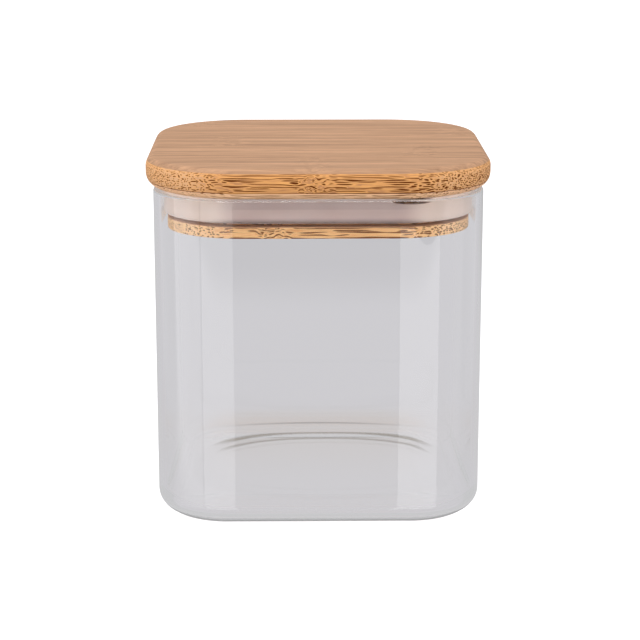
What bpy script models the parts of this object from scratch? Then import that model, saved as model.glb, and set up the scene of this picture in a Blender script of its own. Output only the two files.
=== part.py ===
"""A square glass storage jar with a push-in bamboo lid.

The jar is one blown glass piece. The lid is glued up from three layers of bamboo strips, then milled to one
shape: a cover that rests on the rim, a neck, and a flange below it. A hollow silicone ring sits round the neck
and presses on the inside of the glass. Lengths are in metres and +Z is up. The origin is under the middle of
the foot, and the grain of the bamboo runs along X.
"""

import math

import bmesh
import bpy
from mathutils import Vector

# Glass jar
JAR_WIDTH = 0.100  # outside, across the flat sides
JAR_CORNER = 0.022  # outside radius of the upright corners
JAR_HEIGHT = 0.1005  # foot to rim
JAR_WALL = 0.002
JAR_FLOOR = 0.0028  # glass under the cavity
HEEL_RADIUS = 0.0059  # outside, where the walls turn into the foot
CAVITY_HEEL_RADIUS = 0.0052  # the same turn inside
RIM_RADIUS = 0.0007  # rounding of the fire-polished rim
FOOT_RING_WIDTH = 0.0030  # flat ring that the jar stands on
PUSH_UP_RISE = 0.0012  # how far the floor bulges up inside the foot ring
PUSH_UP_BAND = 0.0060  # width of the slope up to it

# Lid, as milled from the glued blank
SEAT_GAP = 0.0003  # rim to the underside of the cover
COVER_OVERHANG = 0.0025  # past the outside of the glass
COVER_CORNER = 0.0295
COVER_THICKNESS = 0.0092
COVER_TOP_RADIUS = 0.0029
COVER_UNDER_RADIUS = 0.0042
NECK_HEIGHT = 0.0088  # groove that the seal sits in
FLANGE_THICKNESS = 0.00345
FLANGE_CLEARANCE = 0.0015  # flange to the inside of the glass
FLANGE_CORNER = 0.0240  # rounder than the glass
GROOVE_DEPTH = 0.0042  # neck behind the face of the flange
FLANGE_EDGE_RADIUS = 0.0004

# Bamboo strips, side by side in each layer
STRIP_COUNT = 5
GLUE_LINE = 0.0001
TOP_SHIFT = 0.0025  # how far back the seams of each layer lie from the middle
CORE_SHIFT = -0.0020
PLUG_SHIFT = 0.0005

# Silicone seal
SEAL_LIFT = 0.00115  # above the flange
SEAL_HEAD_GAP = 0.0010  # under the cover
SEAL_WALL = 0.0013
SEAL_CLEARANCE = 0.0003  # to the neck inside and the glass outside
SEAL_SQUARENESS = 4.0  # exponent of the section's curve: 2 is round, more is squarer

# How finely curves are divided
CORNER_STEPS = 12
HEEL_STEPS = 5
EDGE_STEPS = 4
FLANGE_EDGE_STEPS = 1
RIM_STEPS = 3
DOME_STEPS = 3
SEAL_STEPS = 8

CUT_OVERRUN = 0.002  # how far a cutter reaches past what it cuts
SHARP_ANGLE = math.radians(35)
FLAT_ANGLE = math.radians(60)
LEVEL_TOLERANCE = 1e-6

# Sizes that follow from those above
CAVITY_WIDTH = JAR_WIDTH - 2 * JAR_WALL
SEAT_HEIGHT = JAR_HEIGHT + SEAT_GAP
COVER_WIDTH = JAR_WIDTH + 2 * COVER_OVERHANG
FLANGE_WIDTH = CAVITY_WIDTH - 2 * FLANGE_CLEARANCE
NECK_WIDTH = FLANGE_WIDTH - 2 * GROOVE_DEPTH
NECK_CORNER = FLANGE_CORNER - GROOVE_DEPTH
PLUG_DEPTH = NECK_HEIGHT + FLANGE_THICKNESS
SEAL_HEIGHT = NECK_HEIGHT - SEAL_LIFT - SEAL_HEAD_GAP
SEAL_REACH = (CAVITY_WIDTH - NECK_WIDTH) / 2 - 2 * SEAL_CLEARANCE

# Layers of the lid from the top, with the shift of their seams
LAYERS = (("lid_top_strip", TOP_SHIFT), ("lid_core_strip", CORE_SHIFT), ("lid_plug_strip", PLUG_SHIFT))
LAYER_THICKNESS = (COVER_THICKNESS + PLUG_DEPTH) / len(LAYERS)
STRIP_WIDTH = COVER_WIDTH / STRIP_COUNT


def clear_scene():
    """Removes whatever the file already holds."""
    for thing in list(bpy.data.objects):
        bpy.data.objects.remove(thing)


def new_collection(name):
    """A collection under the scene's own."""
    made = bpy.data.collections.new(name)
    bpy.context.scene.collection.children.link(made)
    return made


def new_empty(name, height, collection):
    """A frame that pieces hang from, on the jar's axis."""
    made = bpy.data.objects.new(name, None)
    made.location = (0, 0, height)
    collection.objects.link(made)
    return made


def new_object(name, data, parent, collection, material=None):
    """An object with its material, under its parent frame."""
    made = bpy.data.objects.new(name, data)
    collection.objects.link(made)
    made.parent = parent
    if material:
        data.materials.append(material)
    return made


def new_material(name, colour, roughness, alpha=1.0, transmission=0.0):
    """A Principled material in one colour."""
    made = bpy.data.materials.new(name)
    made.use_nodes = True
    made.diffuse_color = (*colour, alpha)
    shader = made.node_tree.nodes["Principled BSDF"]
    shader.inputs["Base Color"].default_value = (*colour, 1.0)
    shader.inputs["Roughness"].default_value = roughness
    shader.inputs["Metallic"].default_value = 0.0
    shader.inputs["Alpha"].default_value = alpha
    shader.inputs["Transmission Weight"].default_value = transmission
    return made


def mesh_from(bm, name):
    """The finished mesh, smooth except at its sharp edges."""
    mesh = bpy.data.meshes.new(name)
    bm.to_mesh(mesh)
    bm.free()
    mesh.shade_smooth()
    mesh.set_sharp_from_angle(angle=SHARP_ANGLE)
    return mesh


def rounded_block(width, corner, low, high):
    """A square block between two heights, with its upright edges rounded."""
    bm = bmesh.new()
    bmesh.ops.create_cube(bm, size=1)
    bmesh.ops.scale(bm, vec=(width, width, high - low), verts=bm.verts)
    bmesh.ops.translate(bm, vec=(0, 0, (low + high) / 2), verts=bm.verts)
    upright = [e for e in bm.edges if abs(e.verts[0].co.z - e.verts[1].co.z) > LEVEL_TOLERANCE]
    bmesh.ops.bevel(
        bm, geom=upright, offset=corner, offset_type="OFFSET", segments=CORNER_STEPS, profile=0.5, affect="EDGES"
    )
    return bm


def face_at(bm, height):
    """The largest level face at a height."""
    level = [f for f in bm.faces if all(abs(v.co.z - height) < LEVEL_TOLERANCE for v in f.verts)]
    return max(level, key=lambda f: f.calc_area())


def round_edges_at(bm, height, radius, steps):
    """Rounds every edge that turns a corner at a height."""
    turning = [
        e
        for e in bm.edges
        if all(abs(v.co.z - height) < LEVEL_TOLERANCE for v in e.verts) and e.calc_face_angle(0) > FLAT_ANGLE
    ]
    bmesh.ops.bevel(
        bm, geom=turning, offset=radius, offset_type="OFFSET", segments=steps, profile=0.5, affect="EDGES"
    )


def step_in(bm, face, distance):
    """Insets a face by a distance and keeps it level."""
    bmesh.ops.inset_region(bm, faces=[face], thickness=distance, use_even_offset=True)
    return face


def push(bm, face, rise):
    """Extrudes a face up or down and gives the moved face."""
    moved = bmesh.ops.extrude_discrete_faces(bm, faces=[face])["faces"][0]
    bmesh.ops.translate(bm, vec=(0, 0, rise), verts=moved.verts)
    return moved


def bulge(bm, face, band, rise):
    """Lifts the middle of a level face on a smooth slope of a given width."""
    lifted = 0.0
    for step in range(1, DOME_STEPS + 1):
        share = step / DOME_STEPS
        target = rise * (3 * share**2 - 2 * share**3)
        step_in(bm, face, band / DOME_STEPS)
        bmesh.ops.translate(bm, vec=(0, 0, target - lifted), verts=face.verts)
        lifted = target


def glass_body():
    """The jar: a block with rounded corners, hollowed from the top, on a flat foot ring."""
    bm = rounded_block(JAR_WIDTH, JAR_CORNER, 0, JAR_HEIGHT)
    mouth = step_in(bm, face_at(bm, JAR_HEIGHT), JAR_WALL)
    push(bm, mouth, JAR_FLOOR - JAR_HEIGHT)
    round_edges_at(bm, JAR_FLOOR, CAVITY_HEEL_RADIUS, HEEL_STEPS)
    round_edges_at(bm, 0, HEEL_RADIUS, HEEL_STEPS)
    round_edges_at(bm, JAR_HEIGHT, RIM_RADIUS, RIM_STEPS)
    foot = step_in(bm, face_at(bm, 0), FOOT_RING_WIDTH)
    bulge(bm, foot, PUSH_UP_BAND, PUSH_UP_RISE)
    bulge(bm, face_at(bm, JAR_FLOOR), PUSH_UP_BAND, PUSH_UP_RISE)
    return mesh_from(bm, "glass_body")


def cover_blank():
    """The part of the lid that shows above the glass, measured from its underside."""
    bm = rounded_block(COVER_WIDTH, COVER_CORNER, 0, COVER_THICKNESS)
    round_edges_at(bm, COVER_THICKNESS, COVER_TOP_RADIUS, EDGE_STEPS)
    round_edges_at(bm, 0, COVER_UNDER_RADIUS, EDGE_STEPS)
    return mesh_from(bm, "cover_blank")


def plug_blank():
    """The flange with the neck rising from it into the cover."""
    bm = rounded_block(FLANGE_WIDTH, FLANGE_CORNER, -PLUG_DEPTH, -NECK_HEIGHT)
    round_edges_at(bm, -PLUG_DEPTH, FLANGE_EDGE_RADIUS, FLANGE_EDGE_STEPS)
    neck = step_in(bm, face_at(bm, -NECK_HEIGHT), GROOVE_DEPTH)
    push(bm, neck, NECK_HEIGHT + CUT_OVERRUN)
    return mesh_from(bm, "plug_blank")


def lid_blank(lid, helpers):
    """The whole lid as milled, which every strip is a slice of."""
    cover = new_object("cover_blank", cover_blank(), lid, helpers)
    plug = new_object("plug_blank", plug_blank(), lid, helpers)
    for helper in (cover, plug):
        helper.hide_render = True
        helper.display_type = "WIRE"
    joined = cover.modifiers.new("with_plug", "BOOLEAN")
    joined.operation = "UNION"
    joined.solver = "EXACT"
    joined.object = plug
    return cover


def seams(shift):
    """Where the strips of a layer meet, from front to back."""
    return [shift + (k - STRIP_COUNT / 2) * STRIP_WIDTH for k in range(1, STRIP_COUNT)]


def strip_box(low, high):
    """A plain box between two corners, centred on its own origin."""
    bm = bmesh.new()
    bmesh.ops.create_cube(bm, size=1)
    bmesh.ops.scale(bm, vec=high - low, verts=bm.verts)
    mesh = bpy.data.meshes.new("strip")
    bm.to_mesh(mesh)
    bm.free()
    mesh.shade_smooth()
    mesh.set_sharp_from_angle(angle=SHARP_ANGLE)
    return mesh


def layer_levels():
    """The heights that part the layers, from above the lid to below it."""
    glued = [COVER_THICKNESS - k * LAYER_THICKNESS for k in range(1, len(LAYERS))]
    return [COVER_THICKNESS + CUT_OVERRUN, *glued, -PLUG_DEPTH - CUT_OVERRUN]


def bamboo_strip(name, front, back, bottom, top, lid, blank, collection, material):
    """One strip between two seams and two glue levels, cut to the milled shape."""
    reach = COVER_WIDTH / 2 + CUT_OVERRUN
    low = Vector((-reach, front + GLUE_LINE / 2, bottom + GLUE_LINE / 2))
    high = Vector((reach, back - GLUE_LINE / 2, top - GLUE_LINE / 2))
    strip = new_object(name, strip_box(low, high), lid, collection, material)
    strip.location = (low + high) / 2
    milled = strip.modifiers.new("milled", "BOOLEAN")
    milled.operation = "INTERSECT"
    milled.solver = "EXACT"
    milled.object = blank


def bamboo_lid(lid, collection, helpers, materials):
    """Every layer of the lid, as strips side by side."""
    blank = lid_blank(lid, helpers)
    reach = COVER_WIDTH / 2 + CUT_OVERRUN
    levels = layer_levels()
    for index, (name, shift) in enumerate(LAYERS):
        edges = [-reach, *seams(shift), reach]
        for number, (front, back) in enumerate(zip(edges, edges[1:]), start=1):
            material = materials[(number + index) % len(materials)]
            place = (front, back, levels[index + 1], levels[index])
            bamboo_strip(f"{name}_{number}", *place, lid, blank, collection, material)


def rounded_square(half, radius):
    """Points round a square with round corners, anticlockwise from above."""
    centre = half - radius
    points = []
    for side in range(4):
        across = centre * (1 if side in (0, 3) else -1)
        along = centre * (1 if side in (0, 1) else -1)
        for step in range(CORNER_STEPS + 1):
            angle = math.pi / 2 * (side + step / CORNER_STEPS)
            points.append((across + radius * math.cos(angle), along + radius * math.sin(angle)))
    return points


def bow(reach, height, steps):
    """Points up one side of a squarish half oval, from its foot to its top."""
    points = []
    for step in range(steps + 1):
        angle = math.pi * step / steps
        out = abs(math.sin(angle)) ** (2 / SEAL_SQUARENESS)
        up = -math.copysign(abs(math.cos(angle)) ** (2 / SEAL_SQUARENESS), math.cos(angle))
        points.append((reach * out, height / 2 * up))
    return points


def closed_line(name, points):
    """A closed curve of straight pieces through flat points."""
    curve = bpy.data.curves.new(name, "CURVE")
    curve.dimensions = "3D"
    curve.twist_mode = "Z_UP"
    line = curve.splines.new("POLY")
    line.points.add(len(points) - 1)
    for place, (x, y) in zip(line.points, points):
        place.co = (x, y, 0, 1)
    line.use_cyclic_u = True
    return curve


def seal_ring(lid, collection, helpers, material):
    """The hollow ring round the neck: a bowed wall whose open back lies against the bamboo."""
    outer = bow(SEAL_REACH, SEAL_HEIGHT, SEAL_STEPS)
    inner = bow(SEAL_REACH - SEAL_WALL, SEAL_HEIGHT - 2 * SEAL_WALL, SEAL_STEPS)
    section = new_object("seal_section", closed_line("seal_section", inner + outer[::-1]), lid, helpers)
    section.data.dimensions = "2D"
    section.data.fill_mode = "NONE"
    section.hide_render = True
    half = NECK_WIDTH / 2 + SEAL_CLEARANCE
    path = rounded_square(half, NECK_CORNER + SEAL_CLEARANCE)
    ring = new_object("seal_ring", closed_line("seal_ring", path), lid, collection, material)
    ring.data.bevel_mode = "OBJECT"
    ring.data.bevel_object = section
    ring.location.z = SEAL_LIFT + SEAL_HEIGHT / 2 - NECK_HEIGHT
    return ring


def build():
    """Builds the jar and its lid."""
    clear_scene()
    parts = new_collection("glass_storage_jar")
    helpers = new_collection("cutters")
    jar = new_empty("jar_frame", 0, parts)
    lid = new_empty("lid_frame", SEAT_HEIGHT, parts)
    clear_glass = new_material("clear_glass", (0.92, 0.93, 0.94), 0.03, alpha=0.30, transmission=1.0)
    silicone = new_material("milky_silicone", (0.80, 0.74, 0.70), 0.35, alpha=0.85)
    bamboo = [
        new_material("bamboo_light", (0.60, 0.37, 0.22), 0.55),
        new_material("bamboo_warm", (0.55, 0.32, 0.17), 0.55),
        new_material("bamboo_dark", (0.50, 0.28, 0.14), 0.55),
    ]
    new_object("glass_body", glass_body(), jar, parts, clear_glass)
    bamboo_lid(lid, parts, helpers, bamboo)
    seal_ring(lid, parts, helpers, silicone)
    bpy.context.view_layer.update()


build()
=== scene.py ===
"""Looks for a square glass storage jar with a push-in bamboo lid.

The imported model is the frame: it gives every piece its place and size. The glass, the silicone ring and
the bamboo strips are modelled again here with fine curves, and each takes the place of its plain solid.
Lengths are in metres, +Z is up, and the grain of the bamboo runs along X.
"""

from __future__ import annotations

import logging
import math
from collections.abc import Callable
from dataclasses import dataclass, field
from enum import Enum

import bmesh
import bpy
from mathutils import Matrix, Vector


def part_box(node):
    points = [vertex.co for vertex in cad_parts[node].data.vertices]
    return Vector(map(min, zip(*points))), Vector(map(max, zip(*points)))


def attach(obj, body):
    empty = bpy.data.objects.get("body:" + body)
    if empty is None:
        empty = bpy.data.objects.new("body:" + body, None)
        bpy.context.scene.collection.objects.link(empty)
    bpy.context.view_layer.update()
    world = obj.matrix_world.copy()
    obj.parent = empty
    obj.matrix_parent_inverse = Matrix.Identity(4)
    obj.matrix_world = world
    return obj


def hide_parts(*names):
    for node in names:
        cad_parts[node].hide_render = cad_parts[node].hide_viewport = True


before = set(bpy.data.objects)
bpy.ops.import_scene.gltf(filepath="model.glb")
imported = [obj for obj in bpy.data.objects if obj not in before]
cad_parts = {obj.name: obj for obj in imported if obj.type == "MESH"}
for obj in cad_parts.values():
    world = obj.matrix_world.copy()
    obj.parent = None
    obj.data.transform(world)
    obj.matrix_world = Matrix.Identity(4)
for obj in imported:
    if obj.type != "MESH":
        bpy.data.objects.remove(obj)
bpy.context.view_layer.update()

LOG = logging.getLogger("jar")

MM = 0.001
LEVEL_TOLERANCE = 0.02 * MM
CUT_TOLERANCE = 0.001 * MM
SHARP_ANGLE = math.radians(35)
TURNING_ANGLE = math.radians(60)
UPRIGHT_NORMAL = 0.1
QUAD = 4
CORNER_STEPS = 32
BALL_SEGMENTS = 48
BALL_RINGS = 24
HALF_A_BOUNCE = 0.5

Triple = tuple[float, float, float]
Colour = Triple
Range = tuple[float, ...]
Labels = tuple[str, ...]
Socket = bpy.types.NodeSocket
Source = object
Element = bmesh.types.BMEdge | bmesh.types.BMFace

BLACK: Colour = (0.0, 0.0, 0.0)
WHITE: Colour = (1.0, 1.0, 1.0)
TABLE_LIGHT: Colour = (0.76, 0.75, 0.75)
MIDDLE_NOISE: Triple = (0.5, 0.5, 0.5)


class Body(Enum):
    """The moving groups of the model."""

    JAR = "jar"
    LID = "lid"


class Layer(Enum):
    """The layers that the lid is glued up from, from the top."""

    TOP = "top"
    CORE = "core"
    PLUG = "plug"


class Kind(Enum):
    """What can be picked on a mesh."""

    EDGE = "EDGE"
    FACE = "FACE"


def screen(*levels: int) -> Colour:
    """Turns a colour into linear light, by the rule for standard screens.

    Args:
        *levels: Its red, green and blue on a screen, from 0 to 255.

    Returns:
        The same colour in linear light.
    """
    shares = (level / 255 for level in levels)
    return tuple(share / 12.92 if share <= 0.04045 else ((share + 0.055) / 1.055) ** 2.4 for share in shares)


# Shaping tools


class Workpiece:
    """One mesh on the bench, shaped with Blender's edit-mode tools."""

    def __init__(self, made: bpy.types.Object, name: str) -> None:
        """Takes up an object and names it."""
        self.object = made
        made.name = made.data.name = name

    @classmethod
    def block(cls, name: str, low: Vector, high: Vector) -> Workpiece:
        """Makes a block between two corners.

        Args:
            name: Its name.
            low: Its lowest corner.
            high: Its highest corner.

        Returns:
            The block.
        """
        bpy.ops.object.select_all(action="DESELECT")
        bpy.ops.mesh.primitive_cube_add(size=1, location=(low + high) / 2, scale=high - low)
        bpy.ops.object.transform_apply()
        return cls(bpy.context.object, name)

    @classmethod
    def ball(cls, name: str, middle: Vector, reach: Vector) -> Workpiece:
        """Makes a stretched ball.

        Args:
            name: Its name.
            middle: Its middle.
            reach: How far it reaches each way.

        Returns:
            The ball.
        """
        bpy.ops.object.select_all(action="DESELECT")
        bpy.ops.mesh.primitive_uv_sphere_add(
            segments=BALL_SEGMENTS, ring_count=BALL_RINGS, radius=1, location=middle, scale=reach
        )
        bpy.ops.object.transform_apply()
        return cls(bpy.context.object, name)

    def copy(self, name: str) -> Workpiece:
        """Copies the piece with its own mesh.

        Args:
            name: The name of the copy.

        Returns:
            The copy.
        """
        made = self.object.copy()
        made.data = self.object.data.copy()
        bpy.context.scene.collection.objects.link(made)
        return Workpiece(made, name)

    def activate(self) -> None:
        """Makes this the only selected object."""
        bpy.ops.object.select_all(action="DESELECT")
        self.object.select_set(True)
        bpy.context.view_layer.objects.active = self.object

    def edit(self) -> None:
        """Opens the mesh for editing, with nothing picked."""
        self.activate()
        bpy.ops.object.mode_set(mode="EDIT")
        bpy.ops.mesh.select_all(action="DESELECT")

    def done(self) -> None:
        """Closes the mesh."""
        bpy.ops.object.mode_set(mode="OBJECT")

    def pick(self, kind: Kind, wanted: Callable[[Element], bool]) -> None:
        """Picks edges or faces of the open mesh.

        Args:
            kind: Which of them are picked.
            wanted: Says whether one is picked.
        """
        bpy.ops.mesh.select_all(action="DESELECT")
        bpy.ops.mesh.select_mode(type=kind.value)
        mesh = bmesh.from_edit_mesh(self.object.data)
        for element in mesh.edges if kind is Kind.EDGE else mesh.faces:
            element.select_set(wanted(element))
        bmesh.update_edit_mesh(self.object.data)

    def pick_level_face(self, height: float) -> None:
        """Picks the largest level face at a height.

        Args:
            height: The height of the face.
        """
        mesh = bmesh.from_edit_mesh(self.object.data)
        level = [f for f in mesh.faces if all(abs(v.co.z - height) < LEVEL_TOLERANCE for v in f.verts)]
        largest = max(level, key=lambda f: f.calc_area()).index
        self.pick(Kind.FACE, lambda f: f.index == largest)

    def round_picked(self, radius: float, steps: int) -> None:
        """Rounds the picked edges with a number of steps."""
        bpy.ops.mesh.bevel(
            offset=radius, offset_type="OFFSET", segments=steps, affect="EDGES", clamp_overlap=False
        )

    def open_rounded(self, radius: float, steps: int) -> None:
        """Opens a block for editing, and rounds its upright edges.

        Args:
            radius: The radius of the rounding.
            steps: How many faces it has.
        """
        self.edit()
        self.pick(Kind.EDGE, lambda e: abs(e.verts[0].co.z - e.verts[1].co.z) > LEVEL_TOLERANCE)
        self.round_picked(radius, steps)

    def round_at(self, height: float, radius: float, steps: int) -> None:
        """Rounds the edges at a height where the surface turns a corner, with a number of steps."""
        self.pick(
            Kind.EDGE,
            lambda e: all(abs(v.co.z - height) < LEVEL_TOLERANCE for v in e.verts)
            and e.calc_face_angle(0) > TURNING_ANGLE,
        )
        self.round_picked(radius, steps)

    def step_in(self, distance: float) -> None:
        """Insets the picked face and keeps it picked."""
        bpy.ops.mesh.inset(thickness=distance, depth=0, use_even_offset=True)

    def lift(self, rise: float) -> None:
        """Moves what is picked up or down."""
        bpy.ops.transform.translate(value=(0, 0, rise))

    def push(self, rise: float) -> None:
        """Extrudes the picked face up or down."""
        bpy.ops.mesh.extrude_region_move(TRANSFORM_OT_translate={"value": (0, 0, rise)})

    def bulge(self, band: float, rise: float, steps: int) -> None:
        """Lifts the middle of the picked face on a smooth slope.

        Args:
            band: The width of the slope.
            rise: How far the middle goes up.
            steps: How many faces the slope has.
        """
        lifted = 0.0
        for step in range(1, steps + 1):
            share = step / steps
            target = rise * (3 * share**2 - 2 * share**3)
            self.step_in(band / steps)
            self.lift(target - lifted)
            lifted = target

    def slice(self, place: Vector, normal: Vector) -> None:
        """Cuts the mesh at a plane, closes it there, and keeps one side.

        Args:
            place: A point on the plane.
            normal: The side that goes.
        """
        self.edit()
        bpy.ops.mesh.select_all(action="SELECT")
        bpy.ops.mesh.bisect(
            plane_co=place, plane_no=normal, use_fill=True, clear_outer=True, threshold=CUT_TOLERANCE
        )
        self.done()

    def combine(self, other: Workpiece, operation: str) -> None:
        """Fuses another piece into this one or cuts it out, and removes it.

        Args:
            other: The other piece.
            operation: The Boolean modifier's operation.
        """
        joined = self.object.modifiers.new("joined", "BOOLEAN")
        joined.operation = operation
        joined.solver = "EXACT"
        joined.object = other.object
        self.activate()
        bpy.ops.object.modifier_apply(modifier=joined.name)
        bpy.data.objects.remove(other.object)

    def smooth(self) -> None:
        """Shades the curves smooth and keeps flat faces flat."""
        self.activate()
        bpy.ops.object.shade_smooth_by_angle(angle=SHARP_ANGLE)
        even = self.object.modifiers.new("even_shading", "WEIGHTED_NORMAL")
        even.keep_sharp = True
        even.weight = 100
        bpy.ops.object.modifier_apply(modifier=even.name)

    def install(self, material: bpy.types.Material, node: str, body: Body, slot: str) -> None:
        """Gives the piece its only material, and puts it in place of a node of the model.

        Args:
            material: The material.
            node: The node that it stands for.
            body: What it moves with.
            slot: Not used.
        """
        self.object.data.materials.clear()
        self.object.data.materials.append(material)
        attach(self.object, body.value)
        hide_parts(node)
        LOG.info("%s: %d faces", self.object.name, len(self.object.data.polygons))


# Node tools


class Wiring:
    """A node tree, with short calls for the nodes that the finishes use."""

    def __init__(self, tree: bpy.types.NodeTree) -> None:
        """Holds a tree to add nodes to."""
        self.tree = tree

    def add(self, kind: str, **settings: object) -> bpy.types.Node:
        """Adds a node.

        Args:
            kind: The node's type.
            **settings: Its own settings.

        Returns:
            The new node.
        """
        node = self.tree.nodes.new(kind)
        for name, value in settings.items():
            setattr(node, name, value)
        return node

    def feed(self, socket: Socket, source: Source) -> None:
        """Fills a socket.

        Args:
            socket: The socket.
            source: Another socket to link it to, or a plain number, vector or colour.
        """
        if isinstance(source, Socket):
            self.tree.links.new(source, socket)
        else:
            socket.default_value = (*source, 1.0) if socket.type == "RGBA" else source

    def fed(self, node: bpy.types.Node, *sources: Source) -> Socket:
        """Feeds a node's inputs in their order.

        Args:
            node: The node.
            *sources: What goes into its inputs, from the first.

        Returns:
            The node's first output.
        """
        for socket, source in zip(node.inputs, sources):
            self.feed(socket, source)
        return node.outputs[0]

    def feed_named(self, node: bpy.types.Node, sources: dict[str, Source]) -> bpy.types.Node:
        """Feeds a node's inputs by their names.

        Args:
            node: The node.
            sources: What goes into its inputs.

        Returns:
            The same node.
        """
        for name, source in sources.items():
            self.feed(node.inputs[name], source)
        return node

    def maths(self, operation: str, *sources: Source, clamp: bool = False) -> Socket:
        """Works on numbers, and keeps the result from 0 to 1 if asked to."""
        return self.fed(self.add("ShaderNodeMath", operation=operation, use_clamp=clamp), *sources)

    def times(self, first: Source, *others: Source) -> Source:
        """Multiplies numbers, one after the other.

        Args:
            first: The first number.
            *others: The others.

        Returns:
            Their product.
        """
        for other in others:
            first = self.maths("MULTIPLY", first, other)
        return first

    def less(self, number: Source, other: Source) -> Socket:
        """Takes the second number from the first."""
        return self.maths("SUBTRACT", number, other)

    def unsigned(self, number: Source) -> Socket:
        """Drops a number's sign."""
        return self.maths("ABSOLUTE", number)

    def line(self, number: Source, slope: Source, start: Source) -> Socket:
        """Multiplies a number by a slope, and adds a start."""
        return self.maths("MULTIPLY_ADD", number, slope, start)

    def vector(self, operation: str, *sources: Source) -> Socket:
        """Works on vectors."""
        return self.fed(self.add("ShaderNodeVectorMath", operation=operation), *sources)

    def split(self, source: Source) -> tuple[Socket, ...]:
        """The three parts of a vector."""
        return tuple(self.fed(self.add("ShaderNodeSeparateXYZ"), source).node.outputs)

    def join(self, *sources: Source) -> Socket:
        """Makes a vector of up to three numbers."""
        return self.fed(self.add("ShaderNodeCombineXYZ"), *sources)

    def scale(self, place: Source, factor: Source) -> Socket:
        """Makes a vector or a colour longer or shorter."""
        node = self.add("ShaderNodeVectorMath", operation="SCALE")
        return self.fed(self.feed_named(node, {"Scale": factor}), place)

    def blend(self, share: Source, first: Source, second: Source) -> Socket:
        """Mixes two colours.

        Args:
            share: How much of the second colour shows.
            first: The colour at 0.
            second: The colour at 1.

        Returns:
            The mixed colour.
        """
        node = self.add("ShaderNodeMix", data_type="RGBA")
        colours = [socket for socket in node.inputs if socket.type == "RGBA"]
        for socket, source in zip((node.inputs[0], *colours), (share, first, second)):
            self.feed(socket, source)
        return next(socket for socket in node.outputs if socket.type == "RGBA")

    def ease(self, value: Source, *span: Source) -> Socket:
        """Maps a value smoothly from a span's start and end to the results there, or to 0 and 1."""
        return self.fed(self.add("ShaderNodeMapRange", interpolation_type="SMOOTHSTEP"), value, *span)

    def noise(
        self, place: Source, fineness: Triple | None = None, detail: float = 2.0, roughness: float = 0.5
    ) -> bpy.types.Node:
        """Soft noise with features one unit of the place across.

        Args:
            place: Where it is read.
            fineness: How many times finer it is along each axis.
            detail: How many finer octaves it has.
            roughness: How strong they are.

        Returns:
            The node, whose outputs are a value and a colour.
        """
        if fineness is not None:
            place = self.vector("MULTIPLY", place, fineness)
        sources = {"Vector": place, "Scale": 1.0, "Detail": detail, "Roughness": roughness}
        return self.feed_named(self.add("ShaderNodeTexNoise"), sources)

    def flat_cells(self, place: Source, disorder: float) -> bpy.types.Node:
        """Random cells one unit across on a plane, with a distance from each one's middle and its colour."""
        node = self.add("ShaderNodeTexVoronoi", voronoi_dimensions="2D")
        return self.feed_named(node, {"Vector": place, "Scale": 1.0, "Randomness": disorder})

    def either(self, share: Source, first: Socket, second: Socket) -> Socket:
        """Mixes two shaders, where a share of 1 shows the second."""
        return self.fed(self.add("ShaderNodeMixShader"), share, first, second)

    def views(self) -> tuple[Socket, Source, Source]:
        """Tells apart what looks at a surface.

        Returns:
            Whether it is the camera, a clear view through glass, and a clear reflection. Plain light is none.
        """
        path = self.add("ShaderNodeLightPath").outputs
        clear = self.maths("LESS_THAN", path["Diffuse Depth"], HALF_A_BOUNCE)
        passed = path["Is Transmission Ray"]
        glossy = self.times(path["Is Glossy Ray"], self.less(1.0, passed))
        return path["Is Camera Ray"], self.times(passed, clear), self.times(glossy, clear)


class Finish:
    """A new material with a Principled shader and its texture coordinates."""

    def __init__(self, name: str) -> None:
        """Starts a material.

        Args:
            name: Its name.
        """
        self.material = bpy.data.materials.new(name)
        self.material.use_nodes = True
        self.wiring = Wiring(self.material.node_tree)
        nodes = self.material.node_tree.nodes
        self.shader = nodes["Principled BSDF"]
        self.output = nodes["Material Output"]
        self.place = self.wiring.add("ShaderNodeTexCoord").outputs

    def set(self, **sockets: Source) -> None:
        """Sets sockets of the shader, with spaces in their names written as underscores."""
        self.wiring.feed_named(self.shader, {name.replace("_", " "): sockets[name] for name in sockets})

    def bump(self, height: Source, distance: float) -> None:
        """Raises the surface.

        Args:
            height: The height, from 0 to 1.
            distance: How far 1 stands out.
        """
        node = self.wiring.add("ShaderNodeBump")
        self.wiring.feed_named(node, {"Strength": 1.0, "Distance": distance, "Height": height})
        self.set(Normal=node.outputs["Normal"])

    def show(self, shader: Socket) -> None:
        """Makes a shader the material's surface."""
        self.wiring.feed(self.output.inputs["Surface"], shader)


# Finishes


BAMBOO_COLOURS: Labels = ("Light", "Body", "Dark", "End Grain", "Sanded")
BUNDLE_MEASURES: Labels = ("Bundle Spacing", "Bundle Radius", "Bundle Share", "Bundle Strength")
BAMBOO_MEASURES: Labels = (*BUNDLE_MEASURES, "Knuckle", "Glue Height")


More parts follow.
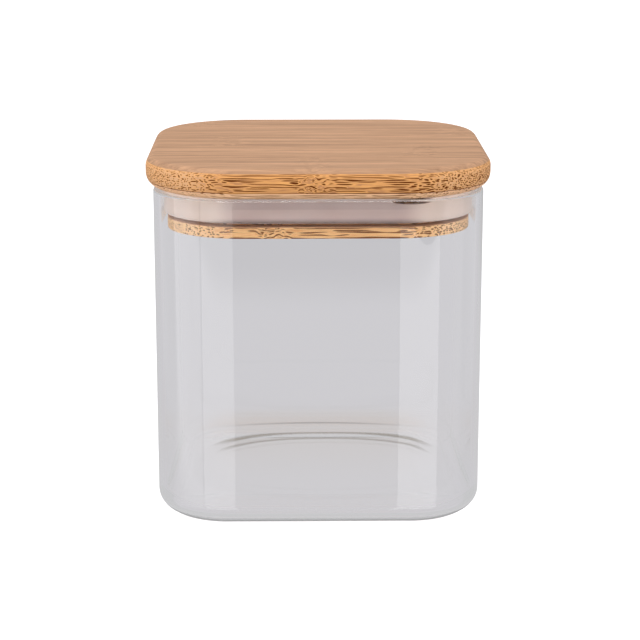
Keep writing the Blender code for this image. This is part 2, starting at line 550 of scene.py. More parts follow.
@dataclass(frozen=True)
class BambooPattern:
    """The solid pattern of bamboo, in millimetres: bundles of dark fibre that run along X.

    A cut across the grain shows the bundles as dots, and one along it shows them as dashes. A fineness says
    how fast a noise changes along each axis. A range gives where an effect starts and ends, and its strength
    at both ends where that isn't none and full. The edges are counted in widths of a bundle.
    """

    knuckle: Range = (8.0, 1.0)
    wander: Triple = (0.0, 1.8, 1.0)
    wander_fineness: Triple = (0.08, 0.8, 0.8)
    swirl: Triple = (0.0, 5.0, 5.0)
    swirl_fineness: Triple = (0.2, 0.3, 0.3)
    disorder: float = 0.6
    bundle_fineness: Triple = (0.17, 90.0, 90.0)
    missing: float = 0.72
    missing_per_share: float = 0.42
    bundle_taper: float = 0.13
    thinnest: float = 0.7
    thicker: float = 0.6
    bolder: Range = (-45.0, 45.0, 0.86, 1.06)
    bundle_edge: Range = (1.05, 0.6)
    halo_edge: Range = (2.2, 1.1)
    halo_share: float = 0.6
    fibre_fineness: Triple = (0.09, 2.2, 2.2)
    fibre_light: Range = (0.38, 0.66)
    tone_fineness: Triple = (0.03, 0.55, 0.55)
    tone_body: Range = (0.35, 0.7, 0.0, 0.55)
    across_the_grain: Range = (0.12, 0.6)
    end_grain_share: float = 0.8
    # Painted light: faces turned up are lighter, and faces turned down darker, as light from above makes
    # them.
    painted_light_from_above: Range = (-0.3, 0.3, 0.95, 1.1)
    glue: Range = (0.32, 0.12)
    glue_tone: Range = (0.3, 0.55, 0.35, 0.9)
    top: Range = (0.50, 0.62)
    streak_fineness: Triple = (0.012, 0.55, 0.55)
    streak_contrast: float = 1.7
    streak_start: float = 0.15
    # Painted shade on the rounded top edge, against the light that lamps above and in front both give it.
    sanded_edge: Range = (0.6, 0.98, 0.84, 1.0)
    fainter_above: Range = (-0.1, 0.4, 1.0, 0.62)
    fainter_on_top: float = 0.93
    sheen: float = 0.44
    sheen_change: float = 0.16
    relief: float = 0.5

    def group(self) -> bpy.types.NodeTree:
        """Makes the pattern's node group.

        Returns:
            The group.
        """
        tree = bpy.data.node_groups.new("bamboo", "ShaderNodeTree")
        for way, kind, labels in (
            ("INPUT", "Vector", ("Place", "Normal", "Seed")),
            ("INPUT", "Color", BAMBOO_COLOURS),
            ("INPUT", "Float", BAMBOO_MEASURES),
            ("OUTPUT", "Color", ("Colour",)),
            ("OUTPUT", "Float", ("Roughness", "Height")),
        ):
            for label in labels:
                tree.interface.new_socket(label, in_out=way, socket_type=f"NodeSocket{kind}")
        w = Wiring(tree)
        given, result = w.add("NodeGroupInput").outputs, w.add("NodeGroupOutput").inputs
        real = w.scale(given["Place"], 1 / MM)
        real_x, _, real_z = w.split(real)
        here = w.vector("ADD", real, given["Seed"])

        # The fibres wander a little, and swirl at a knuckle of the stem
        wander = self.drift(w, here, self.wander, self.wander_fineness)
        swirl = self.drift(w, here, self.swirl, self.swirl_fineness)
        near_knuckle = w.ease(w.unsigned(w.less(real_x, given["Knuckle"])), *self.knuckle)
        grain = w.vector("ADD", w.vector("ADD", here, wander), w.scale(swirl, near_knuckle))

        # Fine fibres between the bundles, slow changes of tone, a paler end grain, and painted light from
        # above
        fibres = w.noise(grain, self.fibre_fineness, detail=3.0, roughness=0.65).outputs["Fac"]
        tone = w.noise(grain, self.tone_fineness).outputs["Fac"]
        bundles, halo = self.bundles(w, given, grain, real_x)
        turn_x, _, turn_z = w.split(given["Normal"])
        cut_across = w.ease(w.unsigned(turn_x), *self.across_the_grain)
        colour = w.blend(w.ease(fibres, *self.fibre_light), given["Body"], given["Light"])
        colour = w.blend(w.ease(tone, *self.tone_body), colour, given["Body"])
        colour = w.blend(w.times(cut_across, self.end_grain_share), colour, given["End Grain"])
        colour = w.blend(w.times(halo, self.halo_share), colour, given["Light"])
        colour = w.scale(colour, w.ease(turn_z, *self.painted_light_from_above))

        # The glue line under the layer
        above_glue = w.less(real_z, given["Glue Height"])
        glued = w.times(w.ease(above_glue, *self.glue), w.ease(tone, *self.glue_tone))
        colour = w.blend(glued, colour, given["Dark"])

        # The top shows only faint streaks. Its paler colour is partly the smoothed face and partly painted
        # sheen and light, and its rounded edge gets painted shade
        on_top = w.ease(turn_z, *self.top)
        streaks = w.noise(grain, self.streak_fineness, detail=5.0, roughness=0.7).outputs["Fac"]
        value = w.line(streaks, self.streak_contrast, self.streak_start)
        calm = w.scale(given["Sanded"], w.times(value, w.ease(turn_z, *self.sanded_edge)))
        colour = w.blend(on_top, colour, calm)
        plain = w.times(w.ease(turn_z, *self.fainter_above), w.line(on_top, -self.fainter_on_top, 1.0))
        shown = w.times(bundles, plain)
        w.feed(result["Colour"], w.blend(shown, colour, given["Dark"]))
        w.feed(result["Roughness"], w.line(fibres, self.sheen_change, self.sheen))
        w.feed(result["Height"], w.less(w.times(fibres, self.relief), w.times(shown, self.relief)))
        return tree

    def drift(self, w: Wiring, here: Source, reach: Triple, fineness: Triple) -> Socket:
        """How far the fibres drift at a place, up to half a reach each way."""
        either_way = w.vector("SUBTRACT", w.noise(here, fineness, detail=1.0).outputs["Color"], MIDDLE_NOISE)
        return w.vector("MULTIPLY", either_way, reach)

    def bundles(
        self, w: Wiring, given: bpy.types.NodeOutputs, grain: Source, real_x: Source
    ) -> tuple[Socket, Socket]:
        """Draws the bundles of dark fibre, each of which comes and goes along the stem.

        Args:
            w: The group's node tree.
            given: The group's inputs.
            grain: The place in the wandering bamboo.
            real_x: The place along the lid.

        Returns:
            How dark it is there, and how near a bundle is.
        """
        along, *flat = w.split(grain)
        spaced = (w.maths("DIVIDE", part, given["Bundle Spacing"]) for part in flat)
        cells = w.flat_cells(w.join(*spaced), self.disorder)
        *chances, size_chance = w.split(cells.outputs["Color"])
        missing = w.less(self.missing, w.times(given["Bundle Share"], self.missing_per_share))
        walk = w.noise(w.join(along, *chances), self.bundle_fineness, detail=0.0).outputs["Fac"]
        present = w.ease(walk, missing, w.maths("ADD", missing, self.bundle_taper))
        size = w.times(w.line(size_chance, self.thicker, self.thinnest), w.ease(real_x, *self.bolder))
        width = w.times(size, given["Bundle Radius"], present)
        inside, halo = (
            w.ease(cells.outputs["Distance"], *(w.times(width, share) for share in edge))
            for edge in (self.bundle_edge, self.halo_edge)
        )
        return w.maths("MULTIPLY", inside, given["Bundle Strength"], clamp=True), halo


@dataclass(frozen=True)
class BambooFinish:
    """Bamboo, smoothed with sandpaper, as one layer of the lid shows it.

    Lengths are in millimetres, as the pattern takes them, but for the relief.
    """

    light: Colour
    body: Colour
    dark: Colour
    end_grain: Colour
    # Partly the smoothed top's own colour, and partly painted sheen and light.
    sanded: Colour
    bundle_spacing: float
    bundle_share: float
    knuckle: float
    bundle_radius: float = 0.36
    bundle_strength: float = 1.0
    glue_height: float = -10.0
    knuckle_shifts: tuple[float, ...] = (0.0, 33.0, -26.0, 47.0, -37.0)
    seed_step: Triple = (37.0, 11.3, 7.9)
    gloss: float = 0.03
    relief: float = 0.1 * MM

    def material(self, name: str, group: bpy.types.NodeTree, number: int) -> bpy.types.Material:
        """Makes the material of one strip.

        Args:
            name: The material's name.
            group: The bamboo pattern.
            number: Which strip of the whole lid it is, so that no two strips look alike.

        Returns:
            The material.
        """
        finish = Finish(name)
        w, labels = finish.wiring, BAMBOO_COLOURS + BAMBOO_MEASURES
        sockets = {label: getattr(self, label.lower().replace(" ", "_")) for label in labels}
        sockets["Knuckle"] += self.knuckle_shifts[(number - 1) % len(self.knuckle_shifts)]
        sockets["Seed"] = tuple(step * number for step in self.seed_step)
        sockets["Place"] = finish.place["Object"]
        sockets["Normal"] = finish.place["Normal"]
        pattern = w.feed_named(w.add("ShaderNodeGroup", node_tree=group), sockets).outputs
        finish.set(Base_Color=pattern["Colour"], Roughness=pattern["Roughness"])
        finish.set(Specular_IOR_Level=self.gloss)
        finish.bump(pattern["Height"], self.relief)
        return finish.material


BAMBOO: dict[Layer, BambooFinish] = {
    Layer.TOP: BambooFinish(
        light=screen(229, 167, 100),
        body=screen(178, 125, 88),
        dark=screen(92, 40, 8),
        end_grain=screen(216, 171, 131),
        sanded=screen(200, 157, 124),
        bundle_spacing=0.64,
        bundle_share=1.3,
        knuckle=-1.5,
        glue_height=102.85,
    ),
    Layer.CORE: BambooFinish(
        light=screen(250, 204, 162),
        body=screen(224, 177, 136),
        dark=screen(124, 76, 38),
        end_grain=screen(230, 180, 140),
        sanded=screen(206, 160, 126),
        bundle_spacing=0.62,
        bundle_share=1.0,
        knuckle=30.0,
        bundle_radius=0.30,
    ),
    # The plug's colours are painted lighter, to make up for the shade it lies in under the lid and behind the
    # glass.
    Layer.PLUG: BambooFinish(
        light=screen(254, 206, 148),
        body=screen(228, 159, 101),
        dark=screen(104, 44, 12),
        end_grain=screen(255, 214, 168),
        sanded=screen(232, 184, 146),
        bundle_spacing=0.70,
        bundle_share=1.5,
        knuckle=-14.0,
        bundle_strength=0.9,
    ),
}


@dataclass(frozen=True)
class PaintedFloorRing:
    """A painted dark ring in the glass floor, which stands in for the shade that the thick heel refracts
    there; plainest at the back.

    Its reaches and widths are in metres.
    """

    back: float
    side: float
    half_width: float
    share: float
    middle: float = 2.5 * MM
    squareness: float = 2.3
    core: float = 0.2
    elsewhere: float = 0.05
    fade: float = 8.0 * MM
    fade_end: float = 8.0 * MM

    def mask(self, w: Wiring, x: Source, y: Source) -> Source:
        """Draws the ring.

        Args:
            w: The glass's node tree.
            x: The place across the jar.
            y: The place from front to back.

        Returns:
            How much of the ring shows.
        """
        across = w.maths("DIVIDE", w.unsigned(w.less(x, self.middle)), self.side)
        along = w.maths("DIVIDE", w.unsigned(y), self.back)
        powers = [w.maths("POWER", part, self.squareness) for part in (across, along)]
        out = w.maths("POWER", w.maths("ADD", *powers), 1 / self.squareness)
        off = w.times(w.unsigned(w.less(out, 1.0)), self.back)
        width = w.ease(off, self.half_width, self.core * self.half_width, 0.0, self.share)
        full = self.back - self.fade_end
        return w.times(width, w.ease(y, full - self.fade, full, self.elsewhere, 1.0))


@dataclass(frozen=True)
class GlassFinish:
    """Clear blown glass."""

    painted_floor_rings: tuple[PaintedFloorRing, ...] = (
        PaintedFloorRing(back=33.9 * MM, side=42.0 * MM, half_width=2.6 * MM, share=0.92),
        PaintedFloorRing(back=26.9 * MM, side=38.0 * MM, half_width=1.6 * MM, share=0.76),
    )
    floor_low: float = 2.4 * MM
    floor_high: float = 4.4 * MM
    painted_ring_colour: Colour = (0.10, 0.06, 0.0)
    tint: Colour = (0.995, 0.997, 0.997)
    shadow: Colour = (0.985, 0.988, 0.988)
    ior: float = 1.47
    deep: Colour = (0.56, 0.56, 0.57)
    deepest: float = 3.5
    wave_fineness: Triple = (22.0, 22.0, 10.0)
    wave: float = 0.04 * MM

    def material(self) -> bpy.types.Material:
        """Makes the material: lamps shine through it, and a painted grey glow stands in for light that
        bounces about inside.

        Returns:
            The material.
        """
        finish = Finish("clear_glass")
        w, place = finish.wiring, finish.place["Object"]
        x, y, z = w.split(place)
        # Painted shade: dark rings in the floor's colour stand in for the heel's refraction.
        rings: Source = 0.0
        for ring in self.painted_floor_rings:
            rings = w.maths("MAXIMUM", rings, ring.mask(w, x, y))
        above, below = w.maths("GREATER_THAN", z, self.floor_low), w.maths("LESS_THAN", z, self.floor_high)
        tint = w.blend(w.times(rings, w.times(above, below)), self.tint, self.painted_ring_colour)
        finish.set(Base_Color=tint, Roughness=0.0, IOR=self.ior, Transmission_Weight=1.0)
        path = w.add("ShaderNodeLightPath").outputs
        see_through = w.fed(w.add("ShaderNodeBsdfTransparent"), self.shadow)
        # Painted glow: an even grey emission where light has bounced about many times inside the glass.
        inner_glow = w.fed(w.add("ShaderNodeEmission"), self.deep)
        bouncing = w.maths("GREATER_THAN", path["Glossy Depth"], self.deepest)
        glass = w.either(bouncing, finish.shader.outputs[0], inner_glow)
        finish.show(w.either(path["Is Shadow Ray"], glass, see_through))
        finish.bump(w.noise(place, self.wave_fineness, detail=0.0).outputs["Fac"], self.wave)
        return finish.material


@dataclass(frozen=True)
class SiliconeFinish:
    """Milky, slightly see-through silicone.

    Its colour has painted light along its lip and at the corners, and painted shade against the lid, below
    the lip and at its foot.
    """

    colour: Colour = screen(198, 175, 169)
    cloud_colour: Colour = screen(192, 168, 162)
    cloud_fineness: Triple = (60.0, 60.0, 180.0)
    cloud: Range = (0.3, 0.7)
    # Painted light: the corners are paler, where the side lamps light the ring more.
    lit_corner_colour: Colour = screen(224, 203, 192)
    corner: Range = (0.05, 0.4)
    # Painted highlight along the top of the lip.
    lip_highlight_colour: Colour = screen(250, 224, 210)
    lip: Range = (99.6 * MM, 99.8 * MM)
    # Painted shade where the lip meets the lid's underside.
    shade_against_lid_colour: Colour = screen(120, 84, 62)
    against_lid: Range = (100.45 * MM, 100.6 * MM)
    # Painted shade: the band below the lip is a little darker.
    shade_below_lip: Range = (97.3 * MM, 97.7 * MM, 0.0, 0.12)
    # Painted shade at the foot, where the ring turns towards the flange, weaker at the corners.
    foot: Range = (95.3 * MM, 93.3 * MM, 0.0, 0.62)
    not_underneath: Range = (-0.95, -0.75)
    foot_shade_at_corner: float = 0.75
    roughness: float = 0.38
    ior: float = 1.41
    glow_share: float = 0.35
    glow_reach: Triple = (4.0 * MM, 3.0 * MM, 2.5 * MM)
    relief: float = 0.2 * MM

    def material(self) -> bpy.types.Material:
        """Makes the material.

        Returns:
            The material.
        """
        finish = Finish("milky_silicone")
        w, place = finish.wiring, finish.place["Object"]
        height = w.split(place)[2]
        turn_x, _, turn_z = w.split(finish.place["Normal"])
        cloud = w.noise(place, self.cloud_fineness).outputs["Fac"]
        # Painted light: the corners, which turn towards the side lamps, are paler.
        corner = w.ease(w.unsigned(turn_x), *self.corner)
        colour = w.blend(w.ease(cloud, *self.cloud), self.colour, self.cloud_colour)
        colour = w.blend(corner, colour, self.lit_corner_colour)
        # Painted shade below the lip, and at the foot, weaker at the corners.
        below = w.times(w.ease(height, *self.shade_below_lip), w.less(1.0, corner))
        # Painted shade at the foot, except on the underside.
        foot = w.times(w.ease(height, *self.foot), w.ease(turn_z, *self.not_underneath))
        foot = w.times(foot, w.line(corner, -self.foot_shade_at_corner, 1.0))
        colour = w.scale(colour, w.less(1.0, w.maths("ADD", below, foot)))
        # Painted highlight: a pale band along the lip.
        colour = w.blend(w.ease(height, *self.lip), colour, self.lip_highlight_colour)
        # Painted shade against the lid's underside.
        colour = w.blend(w.ease(height, *self.against_lid), colour, self.shade_against_lid_colour)
        finish.set(Base_Color=colour, Roughness=self.roughness, IOR=self.ior)
        finish.set(Subsurface_Weight=self.glow_share, Subsurface_Radius=self.glow_reach, Subsurface_Scale=1.0)
        finish.bump(cloud, self.relief)
        return finish.material


# Sub-assemblies


@dataclass
class Jar:
    """The blown glass body."""

    wall: float = 2.0 * MM
    floor: float = 2.8 * MM
    corner: float = 22.0 * MM
    heel: float = 5.9 * MM
    cavity_heel: float = 5.2 * MM
    rim: float = 0.5 * MM
    foot_ring: float = 3.0 * MM
    push_up: float = 1.2 * MM
    push_up_band: float = 12.0 * MM
    heel_steps: int = 12
    rim_steps: int = 6
    dome_steps: int = 12

    def build(self) -> None:
        """Blows the jar: a block with rounded corners, hollowed from the top, on a flat foot ring."""
        low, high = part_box("glass_body")
        piece = Workpiece.block("blown_glass_jar", low, high)
        piece.open_rounded(self.corner, CORNER_STEPS)
        piece.pick_level_face(high.z)
        piece.step_in(self.wall)
        piece.push(self.floor - high.z)
        piece.round_at(self.floor, self.cavity_heel, self.heel_steps)
        piece.round_at(low.z, self.heel, self.heel_steps)
        piece.round_at(high.z, self.rim, self.rim_steps)
        piece.pick_level_face(low.z)
        piece.step_in(self.foot_ring)
        piece.bulge(self.push_up_band, self.push_up, self.dome_steps)
        piece.pick_level_face(self.floor)
        piece.bulge(self.push_up_band, self.push_up, self.dome_steps)
        piece.done()
        piece.smooth()
        piece.install(GlassFinish().material(), "glass_body", Body.JAR, "clear_glass")


@dataclass
class Seal:
    """The hollow silicone ring round the neck of the lid."""

    wall: float = 1.3 * MM
    fill: float = 0.95 * MM
    corner_outside: float = 25.2 * MM
    reach: float = 5.1 * MM
    top_edge: float = 0.4 * MM
    edge: float = 1.2 * MM
    slit_place: Vector = field(default_factory=lambda: Vector((28.2, -47.6, 99.85)) * MM)
    slit_reach: Vector = field(default_factory=lambda: Vector((7.0, 4.6, 0.9)) * MM)
    edge_steps: int = 10

    def build(self) -> None:
        """Moulds the ring: a slab with its middle cut out, its back hollowed and its lip slit."""
        low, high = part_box("seal_ring")
        high.z += self.fill
        piece = Workpiece.block("silicone_seal", low, high)
        piece.open_rounded(self.corner_outside, CORNER_STEPS)
        for height, edge in ((high.z, self.top_edge), (low.z, self.edge)):
            piece.round_at(height, edge, self.edge_steps)
            piece.pick_level_face(height)
            piece.step_in(self.reach - edge)
        limit = high.x - self.reach + MM
        piece.pick(
            Kind.FACE,
            lambda f: len(f.verts) > QUAD and all(max(abs(v.co.x), abs(v.co.y)) < limit for v in f.verts),
        )
        bpy.ops.mesh.bridge_edge_loops()
        piece.pick(
            Kind.FACE,
            lambda f: abs(f.normal.z) < UPRIGHT_NORMAL and f.normal.xy.dot(f.calc_center_median().xy) < 0,
        )
        bpy.ops.mesh.inset(thickness=self.wall, depth=self.wall - self.reach, use_even_offset=True)
        piece.done()
        piece.combine(Workpiece.ball("slit", self.slit_place, self.slit_reach), "DIFFERENCE")
        piece.smooth()
        piece.install(SiliconeFinish().material(), "seal_ring", Body.LID, "milky_silicone")


@dataclass
class Lid:
    """The bamboo lid: milled to one shape, then parted into its glued strips."""

    cover_corner: float = 29.5 * MM
    cover_thickness: float = 9.2 * MM
    top_edge: float = 2.9 * MM
    under_edge: float = 4.2 * MM
    flange_corner: float = 24.0 * MM
    flange_thickness: float = 3.45 * MM
    flange_edge: float = 0.2 * MM
    groove: float = 4.2 * MM
    glue_line: float = 0.1 * MM
    seam: float = 0.02 * MM
    edge_steps: int = 8
    flange_edge_steps: int = 3
    strips: int = 5
    slots: Labels = ("bamboo_light", "bamboo_warm", "bamboo_dark")

    def mill(self) -> Workpiece:
        """Mills the whole lid as one blank.

        Returns:
            The blank, which every strip is a slice of.
        """
        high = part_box("lid_top_strip_2")[1]
        reach, top = high.x, high.z
        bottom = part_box("lid_plug_strip_1")[0].z
        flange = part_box("lid_plug_strip_3")[1].x
        seat = top - self.cover_thickness
        cover = Workpiece.block("cover", Vector((-reach, -reach, seat)), Vector((reach, reach, top)))
        cover.open_rounded(self.cover_corner, CORNER_STEPS)
        cover.round_at(top, self.top_edge, self.edge_steps)
        cover.round_at(seat, self.under_edge, self.edge_steps)
        cover.done()
        shelf = bottom + self.flange_thickness
        plug = Workpiece.block("plug", Vector((-flange, -flange, bottom)), Vector((flange, flange, shelf)))
        plug.open_rounded(self.flange_corner, CORNER_STEPS)
        for height in (bottom, shelf):
            plug.round_at(height, self.flange_edge, self.flange_edge_steps)
        plug.pick_level_face(shelf)
        plug.step_in(self.groove - self.flange_edge)
        plug.push(seat - shelf + self.cover_thickness / 2)
        plug.done()
        cover.combine(plug, "UNION")
        return cover

    def part_strip(self, blank: Workpiece, layer: Layer, number: int) -> Workpiece:
        """Slices one strip out of the blank.

        Args:
            blank: The milled lid.
            layer: The layer that it lies in.
            number: Its number from the front.

        Returns:
            The strip.
        """
        low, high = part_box(f"lid_{layer.value}_strip_{number}")
        strip = blank.copy(f"bamboo_{layer.value}_{number}")
        gap = (self.glue_line - self.seam) / 2
        if number > 1:
            strip.slice(Vector((0, low.y - gap, 0)), Vector((0, -1, 0)))
        if number < self.strips:
            strip.slice(Vector((0, high.y + gap, 0)), Vector((0, 1, 0)))
        if layer is not Layer.TOP:
            strip.slice(Vector((0, 0, high.z + gap)), Vector((0, 0, 1)))
        if layer is not Layer.PLUG:
            strip.slice(Vector((0, 0, low.z - gap)), Vector((0, 0, -1)))
        strip.smooth()
        return strip

    def build(self) -> None:
        """Mills the lid, parts its strips, and gives each its own piece of bamboo."""
        blank = self.mill()
        group = BambooPattern().group()
        for index, layer in enumerate(Layer):
            for number in range(1, self.strips + 1):
                strip = self.part_strip(blank, layer, number)
                material = BAMBOO[layer].material(strip.object.name, group, self.strips * index + number)
                slot = self.slots[(number + index) % len(self.slots)]
                strip.install(material, f"lid_{layer.value}_strip_{number}", Body.LID, slot)
        bpy.data.objects.remove(blank.object)


# Studio


@dataclass(frozen=True)
class Panel:
    """One soft lamp, hung round the jar at a turn from the front and a height."""

    name: str
    turn: float
    height: float
    width: float
    length: float
    brightness: float
    distance: float = 1.10
    mirrored: bool = True
    lights_dull: bool = False
    upright: bool = False

    def hang(self, target: Vector) -> None:
        """Hangs the lamp, facing a point.

        Args:
            target: What it faces.
        """
        lamp = bpy.data.lights.new(self.name, "AREA")
        lamp.shape = "RECTANGLE"
        lamp.size = self.width
        lamp.size_y = self.length
        lamp.energy = self.brightness * math.pi * self.width * self.length
        made = bpy.data.objects.new(self.name, lamp)
        turn = math.radians(self.turn)
        made.location = (math.sin(turn) * self.distance, -math.cos(turn) * self.distance, self.height)
        toward = target - made.location
        if self.upright:
            toward.z = 0
        made.rotation_euler = toward.to_track_quat("-Z", "Y").to_euler()
        made.visible_camera = False
        made.visible_transmission = False
        made.visible_glossy = self.mirrored
        made.visible_diffuse = self.lights_dull
        bpy.context.scene.collection.objects.link(made)


@dataclass(frozen=True)
class Viewpoint:
    """The camera, where the photograph was taken from."""

    place: Triple = (-0.00738, -0.6196, 0.20651)
    tilt: float = math.radians(76.01)
    turn: float = math.radians(-0.762)
    lens: float = 111.32
    sensor_width: float = 36.0
    clip_start: float = 0.01

    def build(self) -> None:
        """Sets up the camera."""
        camera = bpy.data.cameras.new("camera")
        camera.lens = self.lens
        camera.sensor_width = self.sensor_width
        camera.clip_start = self.clip_start
        made = bpy.data.objects.new("camera", camera)
        made.location = self.place
        made.rotation_euler = (self.tilt, 0, self.turn)
        bpy.context.scene.collection.objects.link(made)
        bpy.context.scene.camera = made


@dataclass(frozen=True)
class Table:
    """A pale table, white to the camera except in the jar's soft shadow.

    Glass shows it as an even grey, and reflections also show the lamps through it, as a glossy table would.
    A range gives where an effect starts and ends, and what it is there.
    """

    front: float = -0.41
    front_fade: float = 0.09
    back: float = 4.0
    width: float = 8.0
    drop: float = 0.05 * MM
    colour: Colour = (0.55, 0.55, 0.56)
    glow: Colour = (0.76, 0.76, 0.76)
    roughness: float = 0.9
    contact: Range = (46.3 * MM, 45.1 * MM)
    contact_straight: float = 28.0 * MM
    contact_shade: float = 0.7
    contact_mirrored: Range = (48.7 * MM, 47.5 * MM)
    contact_shadow_colour: Colour = (0.06, 0.06, 0.06)
    in_glass: Colour = (0.59, 0.58, 0.605)
    warm_in_glass: Colour = (0.570, 0.537, 0.530)
    warm_from_front: Range = (-20.0 * MM, 40.0 * MM, 0.15, 1.0)
    warm_to_back: Range = (85.0 * MM, 53.0 * MM)
    warm_to_side: Range = (45.0 * MM, 20.0 * MM, 0.2, 1.0)
    shadow_line_colour: Colour = (0.24, 0.23, 0.235)
    line_ring: float = 53.2 * MM
    line_squash: float = 0.66
    line_width: Range = (1.5 * MM, 0.45 * MM)
    line_length: Range = (48.0 * MM, 0.0, 0.0, 0.62)
    line_behind: Range = (8.0 * MM, 22.0 * MM)
    mirrored_in_front: Colour = (1.4, 1.38, 1.42)
    mirrored_beside: Colour = (0.95, 0.95, 0.97)
    mirrored_behind: Colour = (0.63, 0.63, 0.64)
    mirrored_far_right: Colour = (0.42, 0.42, 0.41)
    in_front: Range = (-0.03, -0.07)
    beside: Range = (0.08, 0.20)
    right: Range = (0.0, 0.1)
    far: Range = (0.12, 0.5)

    def out_from_middle(self, w: Wiring, place: Source, straight: float) -> Socket:
        """Measures how far out from the middle of the jar a place on the table is.

        Args:
            w: The table's node tree.
            place: Where on the table.
            straight: How far from the middle a ring of equal distance stays straight, or 0 if it is round.

        Returns:
            The distance in metres.
        """
        past = w.vector("SUBTRACT", w.vector("ABSOLUTE", place), (straight, straight, 1.0))
        x, y, _ = w.split(w.vector("MAXIMUM", past, BLACK))
        squares = w.maths("ADD", w.times(x, x), w.times(y, y))
        return w.maths("ADD", w.maths("SQRT", squares), straight)

    def under_jar(self, w: Wiring, place: Source) -> Socket:
        """The table as the glass shows it, warm under the jar, with a painted thin shadow line behind the
        foot.

        Args:
            w: The table's node tree.
            place: Where on the table.

        Returns:
            The colour.
        """
        x, y, _ = w.split(place)
        out = self.out_from_middle(w, w.vector("MULTIPLY", place, (self.line_squash, 1.0, 1.0)), 0.0)
        line = w.ease(w.unsigned(w.less(out, self.line_ring)), *self.line_width)
        line = w.times(line, w.ease(w.unsigned(x), *self.line_length), w.ease(y, *self.line_behind))
        warm = w.times(w.ease(y, *self.warm_from_front), w.ease(y, *self.warm_to_back))
        warm = w.times(warm, w.ease(w.unsigned(x), *self.warm_to_side))
        return w.blend(line, w.blend(warm, self.in_glass, self.warm_in_glass), self.shadow_line_colour)

    def in_reflections(self, w: Wiring, place: Source, touch: Source) -> tuple[Socket, Source]:
        """The table as reflections show it: bright in front, grey beside and behind the jar, and a painted
        dark contact shadow where the jar touches it.

        Args:
            w: The table's node tree.
            place: Where on the table.
            touch: How close that is to where the jar touches it.

        Returns:
            The colour, and how much of what lies behind the table shows.
        """
        x, y, _ = w.split(place)
        beside = w.ease(w.less(w.unsigned(x), y), *self.beside)
        grey = w.blend(beside, self.mirrored_behind, self.mirrored_beside)
        far_right = w.times(w.ease(x, *self.right), w.ease(y, *self.far))
        grey = w.blend(far_right, grey, self.mirrored_far_right)
        in_front = w.ease(y, *self.in_front)
        bright = w.scale(self.mirrored_in_front, w.ease(y, self.front, self.front + self.front_fade))
        colour = w.blend(touch, w.blend(in_front, grey, bright), self.contact_shadow_colour)
        return colour, w.times(in_front, w.less(1.0, touch))

    def material(self) -> bpy.types.Material:
        """Makes the table's material.

        Returns:
            The material.
        """
        finish = Finish("table")
        w, place = finish.wiring, finish.place["Object"]
        camera, in_glass, mirror = w.views()
        out = self.out_from_middle(w, place, self.contact_straight)
        # Painted shadow: the table is darkened in a ring right round the jar's foot.
        lit = w.less(1.0, w.times(w.ease(out, *self.contact), self.contact_shade))
        base = w.blend(camera, BLACK, w.scale(self.colour, lit))
        seen = w.blend(in_glass, TABLE_LIGHT, self.under_jar(w, place))
        finish.set(Base_Color=base, Roughness=self.roughness, Specular_IOR_Level=0.0)
        finish.set(Emission_Color=w.blend(camera, seen, w.scale(self.glow, lit)), Emission_Strength=1.0)
        reflected, open_share = self.in_reflections(w, place, w.ease(out, *self.contact_mirrored))
        mirrored = w.fed(w.add("ShaderNodeEmission"), reflected)
        through = w.fed(w.add("ShaderNodeBsdfTransparent"), w.blend(open_share, BLACK, WHITE))
        both = w.fed(w.add("ShaderNodeAddShader"), mirrored, through)
        finish.show(w.either(mirror, finish.shader.outputs[0], both))
        return finish.material

    def build(self) -> None:
        """Lays the table."""
        bpy.ops.object.select_all(action="DESELECT")
        middle = (self.front + self.back) / 2
        bpy.ops.mesh.primitive_plane_add(size=1, location=(0, middle, -self.drop))
        table = bpy.context.object
        table.name = "table"
        table.scale = (self.width, self.back - self.front, 1)
        bpy.ops.object.transform_apply()
        table.data.materials.append(self.material())


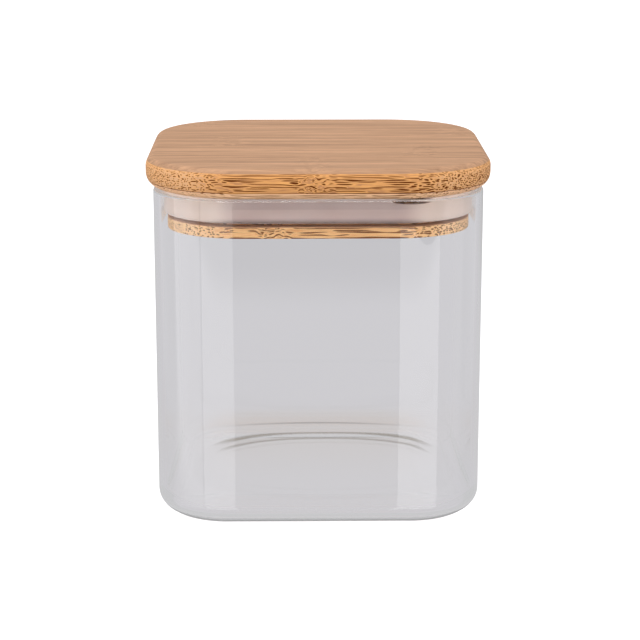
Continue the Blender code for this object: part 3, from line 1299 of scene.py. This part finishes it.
@dataclass(frozen=True)
class Room:
    """An even room with a dark side below the table, white to the camera."""

    horizon: Range = (-0.01, 0.01)
    light: Colour = (0.86, 0.86, 0.87)
    mirrored: Colour = (0.42, 0.42, 0.43)
    in_glass: Colour = (0.60, 0.59, 0.61)
    dark_side_mirrored: Colour = (0.04, 0.04, 0.045)
    dark_side_in_glass: Colour = (0.42, 0.42, 0.42)

    def build(self) -> None:
        """Puts the room round the table."""
        world = bpy.data.worlds.new("room")
        world.use_nodes = True
        bpy.context.scene.world = world
        w = Wiring(world.node_tree)
        camera, in_glass, mirror = w.views()
        above = w.ease(w.split(w.add("ShaderNodeTexCoord").outputs["Generated"])[2], *self.horizon)
        seen = w.blend(above, TABLE_LIGHT, self.light)
        seen = w.blend(mirror, seen, w.blend(above, self.dark_side_mirrored, self.mirrored))
        seen = w.blend(in_glass, seen, w.blend(above, self.dark_side_in_glass, self.in_glass))
        w.feed(world.node_tree.nodes["Background"].inputs["Color"], w.blend(camera, seen, WHITE))


@dataclass
class Studio:
    """The camera, the table, the room and the lamps."""

    lit_point: Triple = (0.0, 0.0, 0.06)
    panels: tuple[Panel, ...] = (
        Panel("left_panel", turn=-20.9, height=0.06, width=0.71, length=1.6, brightness=1.75),
        Panel(
            "left_side_panel", turn=-70.0, height=0.06, width=1.20, length=1.6, brightness=1.2,
            lights_dull=True,
        ),
        Panel("right_panel", turn=24.2, height=-0.45, width=0.80, length=0.64, brightness=1.95, upright=True),
        Panel(
            "right_side_panel", turn=70.0, height=0.30, width=0.80, length=0.8, brightness=0.9,
            mirrored=False, lights_dull=True,
        ),
        Panel("rim_panel", turn=0.0, height=0.95, width=0.6, length=1.0, brightness=8.0, distance=1.0),
        Panel(
            "top_panel", turn=0.0, height=1.0, width=0.6, length=0.5, brightness=1.2, distance=0.45,
            lights_dull=True,
        ),
        Panel(
            "front_fill", turn=0.0, height=0.22, width=1.0, length=0.44, brightness=1.6, distance=1.30,
            mirrored=False, lights_dull=True,
        ),
    )

    def build(self) -> None:
        """Sets everything up."""
        Viewpoint().build()
        Table().build()
        Room().build()
        for panel in self.panels:
            panel.hang(Vector(self.lit_point))
        bpy.context.scene.view_settings.view_transform = "Standard"


def main() -> None:
    """Builds every sub-assembly and the studio."""
    logging.basicConfig(level=logging.INFO, format="%(name)s: %(message)s")
    Jar().build()
    Lid().build()
    Seal().build()
    Studio().build()


if __name__ == "__main__":
    main()
